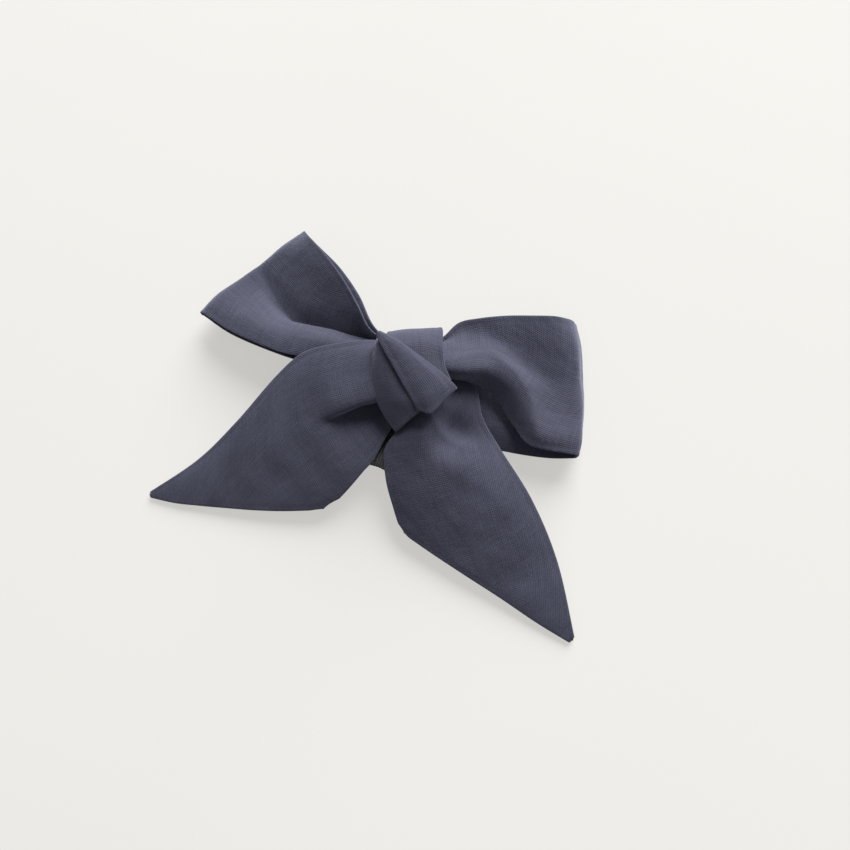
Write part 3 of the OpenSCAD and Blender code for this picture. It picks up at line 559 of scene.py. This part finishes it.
def thread_material():
    """Twisted sewing thread: the strands wind round it."""
    m = Nodes("sewing_thread")
    uv = m.add("UVMap", {"uv_map": "strip"}).outputs["UV"]
    axes = m.add("SeparateXYZ", None, Vector=uv)
    twist = m.math("SINE", m.math("MULTIPLY_ADD", axes.outputs["X"], 2 * math.pi * 14,
                                  m.math("MULTIPLY", axes.outputs["Y"], 4 * math.pi)))
    fibre = m.noise(uv, 40.0, 2.0)
    tone = m.math("MULTIPLY_ADD", twist, 0.3, m.math("MULTIPLY_ADD", fibre, 0.5, 0.2))
    colour = m.ramp(tone, [(0.1, (0.018, 0.019, 0.03)), (0.9, (0.07, 0.072, 0.1))])
    normal = m.bump(twist, 0.6, 0.0001)
    return m.principled(Base_Color=colour, Roughness=m.math("MULTIPLY_ADD", fibre, 0.2, 0.5), Normal=normal,
                        Sheen_Weight=0.3)


linen = linen_material("linen_weave", (0.021, 0.0213, 0.034), (0.0695, 0.0708, 0.109))
ribbon = ribbon_material()
clip_steel = steel_material("nickel_steel", (0.66, 0.66, 0.67), (900.0, 60.0, 900.0), 0.24)
pin_steel = steel_material("pin_steel", (0.60, 0.60, 0.61), (60.0, 900.0, 900.0), 0.28)
spring_steel = steel_material("spring_wire", (0.56, 0.56, 0.58), (700.0, 700.0, 700.0), 0.2)
glue = glue_material()
thread = thread_material()


# ---------------------------------------------------------------- the bow
def strip_piece(name, net, seed, replaced, cell=CELL, wave=0.18,
                ends=(False, True), corners=(), dents=(), creases=()):
    """A length of the linen strip; ends says which ends have a pressed edge of their own."""
    grid = sheet_grid(net, cell)
    for centre, radius, depth in dents:
        grid = dent(grid, centre, radius, depth)
    for fold in creases:
        grid = crease(grid, *fold)
    for i, j, radius in corners:
        grid = soften_corner(grid, i, j, radius)
    n = normals(grid)
    calm = 1 - np.exp(-edge_distance(grid, (True, True)) / CALM)
    waves = calm * ripple(grid, seed, LONG_WAVE, wave)
    waves += calm * ripple(grid, seed + 50, SHORT_WAVE, wave / 6)
    grid = grid + n * waves[..., None]
    piece = cloth(name, grid, linen, thickness(edge_distance(grid, ends)))
    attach(piece, "bow")
    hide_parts(replaced)


# Folds pressed into single pieces: the line's points (x, y), then width, depth and above.
LEFT_LOOP_VALLEY = ([(-63, 17), (-59.6, 13.5), (-54.9, 9.4), (-49.3, 5), (-42.8, 1.2), (-31.8, 1.7),
                     (-21.7, 3.2), (-13.3, 4.5)], 3.0, 1.9, 5.0)
RIGHT_LOOP_CREST = ([(18, 15), (27.4, 11.9), (33, 9.6), (38.6, 5.8), (42.4, 1), (45, -4.6), (49, -8)],
                    2.6, -0.9, 7.5)
RIGHT_TAIL_RIDGE = ([(11.5, -9), (12.9, -11.2), (15.2, -13.7), (18.3, -16.3), (21.8, -17.6), (26, -17.6),
                     (30, -16)], 1.8, -1.3)
RIGHT_TAIL_HOLLOW = ((21.6, -16.4), 6.4, 3.4)          # centre, radius, depth

strip_piece("left_loop_linen", LEFT_LOOP, 3, "left_loop",
            creases=[LEFT_LOOP_VALLEY])
strip_piece("right_loop_linen", RIGHT_LOOP, 7, "right_loop",
            creases=[RIGHT_LOOP_CREST])
strip_piece("left_tail_linen", LEFT_TAIL, 11, "left_tail",
            corners=[(-1, 0, 2.0), (-1, -1, 6.0)])
strip_piece("right_tail_linen", RIGHT_TAIL, 17, "right_tail",
            corners=[(-1, 0, 2.0), (-1, -1, 3.0)], dents=[RIGHT_TAIL_HOLLOW],
            creases=[RIGHT_TAIL_RIDGE])
strip_piece("knot_band_linen", KNOT_BAND, 23, "knot_band",
            cell=FINE_CELL, wave=0.05)
strip_piece("knot_underwrap_linen", KNOT_UNDERWRAP, 29, "knot_underwrap",
            cell=FINE_CELL, wave=0.04)
strip_piece("knot_flap_linen", KNOT_FLAP, 31, "knot_flap",
            cell=FINE_CELL, wave=0.04)


def gathered_bundle():
    """The strips where they cross inside the knot: a pleated roll from loop to loop."""
    half_wide, half_high = 5.6, 4.1
    path = smooth_path([(-6.2, -1, 11.4), (-3, -1.2, 12.4), (0, -0.8, 13.2), (3.2, -0.5, 13),
                        (6.6, 0, 12.2)], 0.3)
    s = np.linspace(-1, 1, len(path))[:, None]
    turn = np.linspace(0, 2 * math.pi, 120, endpoint=False)[None, :]
    pleats = 0.07 * np.abs(np.sin(5.5 * turn + 0.7 * s)) + 0.03 * np.sin(17 * turn - 2 * s) - 0.05
    swell = (1 - 0.22 * s**2) * (1 + pleats)
    y = path[:, 1:2] + half_wide * swell * np.cos(turn)
    z = path[:, 2:3] + half_high * swell * np.sin(turn)
    x = path[:, :1] + 0.25 * np.sin(11 * turn)
    radius = 4.8              # of the round bundle with about the same girth
    uv = np.stack(np.broadcast_arrays(x, radius * turn), axis=-1).reshape(-1, 2) / UV_UNIT
    piece = closed_grid("knot_core_gathers", np.stack([x, y, z], axis=-1), linen, uv)
    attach(piece, "bow")
    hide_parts("knot_core")


gathered_bundle()


# ---------------------------------------------------------------- the clip and its lining
TIP_Y = 13.0          # front end of both arms
CLIP_LEN = 46.0
BITE_GAP = 2.0        # height of the upper arm's underside at the bite
ARM_ANGLE = math.radians(8)
STEEL_T = 0.7
RIBBON_T = 0.5
RIBBON_BACK = 2.5     # from the bite to the front end of each ribbon
RIBBON_FOLD = 8.0     # ribbon folded back inside each lever
PIN_Y, PIN_Z = -13.0, 3.4
WIRE_R = 0.3
COIL_R = 1.5
COIL_TURNS = 5


def in_arm_frame(points):
    """From the upper arm's own frame, underside of its bite at the origin, to the bow's."""
    x, y, z = points[..., 0], points[..., 1], points[..., 2]
    c, s = math.cos(ARM_ANGLE), math.sin(ARM_ANGLE)
    return np.stack([x, TIP_Y + y * c + z * s, BITE_GAP - y * s + z * c], axis=-1)


def fold_path(outer_z, inner_z):
    """Ribbon line (y, z) from the bite along the arm, round its lever end and back inside."""
    r = abs(outer_z - inner_z) / 2
    turn_y = RIBBON_T / 2 + r - CLIP_LEN - RIBBON_T
    way = math.copysign(1, outer_z - inner_z)
    run = [(y, outer_z) for y in np.linspace(-RIBBON_BACK, turn_y, 150)]
    arc = [(turn_y - r * math.sin(a), (outer_z + inner_z) / 2 + way * r * math.cos(a))
           for a in np.linspace(0, math.pi, 12)[1:]]
    back = [(y, inner_z) for y in np.linspace(turn_y, RIBBON_FOLD - CLIP_LEN, 28)[1:]]
    return np.array(run + arc + back)


def ribbon_piece(name, replaced, body, width, path, droop, frame_of):
    """A ribbed ribbon on an arm; the ribs run along it, and both selvedges are plain cords."""
    rib = 0.95                # distance between two ribs
    x = np.linspace(-width / 2, width / 2, round(width / rib) * 7 + 1)
    y, z = path[:, :1], path[:, 1:]
    waved = np.clip((y + 36) / -8, 0, 1)                            # only toward the folded end
    wave = 0.22 * np.sin(2.1 * x / width * math.pi + 0.6) * waved
    sag = droop * np.clip(np.abs(x) - 4, 0, 9) ** 2 * (z > z.mean())
    grid = np.stack(np.broadcast_arrays(x[None, :], y + wave, z - sag), axis=-1)
    grid = frame_of(grid)
    edge = (width / 2 - np.abs(x))[None, :]
    ribs = 0.5 + 0.5 * np.cos(2 * math.pi * x / rib)[None, :]
    web, ridge, selvedge = 0.26, 0.2, 0.16
    thick = web + ridge * ribs * np.clip(edge / 0.6, 0, 1) + selvedge * np.exp(-((edge / 0.3) ** 2))
    cloth_piece = cloth(name, grid, ribbon, np.broadcast_to(thick, grid.shape[:2]))
    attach(cloth_piece, body)
    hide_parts(replaced)


ribbon_piece("ribbon_top_ribbed", "ribbon_top", "bow", 14.0,
             fold_path(STEEL_T + RIBBON_T / 2, -RIBBON_T / 2), 0.012, in_arm_frame)
ribbon_piece("ribbon_jaw_ribbed", "ribbon_jaw", "jaw", 10.0,
             fold_path(RIBBON_T / 2, STEEL_T + 1.5 * RIBBON_T), 0.0, lambda g: g + np.array([0, TIP_Y, 0]))


def spring_wire():
    """Torsion spring: a leg on the lower arm, the coil round the pin, a leg under the upper arm."""
    half = COIL_TURNS * (2 * WIRE_R + 0.06) / 2
    leg_y = PIN_Y - 8
    low_z = RIBBON_T + STEEL_T + WIRE_R + 0.05
    high_z = BITE_GAP + (TIP_Y - leg_y) * math.tan(ARM_ANGLE) - WIRE_R - 0.05
    a = np.radians(np.arange(270, 270 + 360 * COIL_TURNS + 181, 10))
    coil = np.stack([np.linspace(-half, half, len(a)), PIN_Y + COIL_R * np.cos(a),
                     PIN_Z + COIL_R * np.sin(a)], axis=-1)
    low = smooth_path([(-half + 0.9, leg_y + 0.3, low_z), (-half + 0.2, leg_y + 0.4, low_z),
                       (-half, leg_y + 1.4, low_z), (-half, PIN_Y - 3, PIN_Z - COIL_R - 0.13),
                       coil[0]], 0.25)
    high = smooth_path([coil[-1], (half, PIN_Y - 3, PIN_Z + COIL_R + 0.42),
                        (half, leg_y + 1.4, high_z - 0.15), (half - 0.2, leg_y + 0.4, high_z),
                        (half - 0.9, leg_y + 0.3, high_z)], 0.25)
    piece = tube("clip_spring_wire", np.concatenate([low[:-1], coil, high[1:]]), WIRE_R, 14, spring_steel)
    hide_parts("clip_spring")
    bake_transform(piece)


def glue_blob():
    """Set glue between the upper ribbon and the knot: pressed flat, with a rounded uneven rim."""
    rng = np.random.default_rng(41)
    turn = np.linspace(0, 2 * math.pi, 96, endpoint=False)
    half_wide, half_long = 4.8, 9.7
    behind = 14               # from the bite to the middle of the glue
    square = 2.6              # 2 would be an oval; more is nearer to a rectangle
    outline = (np.abs(np.cos(turn) / half_wide) ** square
               + np.abs(np.sin(turn) / half_long) ** square) ** (-1 / square)
    outline *= 1 + sum(rng.uniform(-0.012, 0.012) * np.sin(k * turn + rng.uniform(0, 6))
                       for k in range(2, 10))
    base, height = STEEL_T + RIBBON_T, 0.9
    profile = [(0.05, 0.0), (0.6, 0.0), (0.93, 0.0), (0.985, 0.12), (1.0, 0.32), (0.985, 0.55),
               (0.95, 0.76), (0.88, 0.92), (0.75, 1.0), (0.5, 0.97), (0.25, 0.99), (0.05, 1.0)]
    rings = []
    for share, up in profile:
        dimple = 0.05 * np.sin(3 * turn + 9 * share) * (share < 0.9) * up
        rings.append(np.stack([share * outline * np.cos(turn), share * outline * np.sin(turn) - behind,
                               base + height * (up - dimple)], axis=-1))
    piece = closed_grid("glue_pad_set", in_arm_frame(np.array(rings)), glue)
    smooth = piece.modifiers.new("smooth", "SUBSURF")
    smooth.levels = 1
    smooth.render_levels = 1
    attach(piece, "bow")
    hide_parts("glue_pad")


def tack_stitches():
    """Three stitches that hold the end of the band to the bundle behind the knot."""
    for k, (x, slant) in enumerate(((-2.7, 0.25), (0.1, -0.2), (2.7, 0.3))):
        path = smooth_path([(x - slant, -4.5, 8.9), (x - slant, -4.3, 7), (x - slant / 2, -3.2, 6.15),
                            (x + slant / 2, -0.8, 6.15), (x + slant, 0.2, 7), (x + slant, 0.3, 8.9)], 0.12)
        piece = tube(f"tack_stitch_{k + 1}", path, 0.24, 12, thread)
        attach(piece, "bow")
        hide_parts("tack_thread")


spring_wire()
glue_blob()
tack_stitches()
for node, material in (("clip_top_arm", clip_steel), ("clip_jaw", clip_steel), ("hinge_pin", pin_steel)):
    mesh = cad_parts[node].data
    mesh.materials.clear()
    mesh.materials.append(material)


# ---------------------------------------------------------------- camera, floor and light
def camera():
    """Looks steeply down from past the bow's lower right; the bow appears turned clockwise."""
    data = bpy.data.cameras.new("camera")
    data.lens = 40.66
    data.sensor_width = 36.0
    data.clip_start = 0.01
    obj = bpy.data.objects.new("camera", data)
    bpy.context.scene.collection.objects.link(obj)
    place = Vector((66.5, -34.2, 307.2)) * MM
    look = Vector((-0.1788, 0.062, -0.9819)).normalized()
    up = Vector((-0.3517, 0.928, 0.1227))
    right = look.cross(up).normalized()
    up = right.cross(look)
    obj.matrix_world = Matrix((
        (right.x, up.x, -look.x, place.x), (right.y, up.y, -look.y, place.y),
        (right.z, up.z, -look.z, place.z), (0, 0, 0, 1)))
    bpy.context.scene.camera = obj


def floor():
    """Pale floor; about half of its brightness is its own glow, which keeps the shadows faint."""
    m = Nodes("pale_floor")
    place = m.add("TexCoord").outputs["Object"]
    colour = m.ramp(m.noise(place, 4.0, 2.0), [(0.3, (0.245, 0.241, 0.233)), (0.7, (0.255, 0.251, 0.243))])
    m.principled(Base_Color=colour, Roughness=0.9, Specular_IOR_Level=0.1,
                 Emission_Color=(0.515, 0.507, 0.485, 1.0), Emission_Strength=1.0)
    size = 3000.0
    square = [(-size, -size, 0), (size, -size, 0), (size, size, 0), (-size, size, 0)]
    plane = new_object("floor", np.array(square, float), [(0, 1, 2, 3)], m.material)
    plane.location.z = -0.02 * MM


def area_light(name, place, target, size, power, colour):
    data = bpy.data.lights.new(name, "AREA")
    data.shape = "DISK"
    data.size = size
    data.energy = power
    data.color = colour
    obj = bpy.data.objects.new(name, data)
    bpy.context.scene.collection.objects.link(obj)
    obj.location = place
    obj.rotation_euler = (Vector(target) - Vector(place)).to_track_quat("-Z", "Y").to_euler()


def light():
    """One large low window beyond the top of the bow, and an even studio sky."""
    scene = bpy.context.scene
    scene.view_settings.view_transform = "Standard"
    world = bpy.data.worlds.new("studio")
    scene.world = world
    world.use_nodes = True
    background = world.node_tree.nodes["Background"]
    background.inputs["Color"].default_value = (0.97, 0.98, 1.0, 1.0)
    background.inputs["Strength"].default_value = 0.3
    area_light("window", (0.15, 2.2, 1.15), (0, 0, 0), 2.0, 180.0, (1.0, 0.995, 0.98))


camera()
floor()
light()
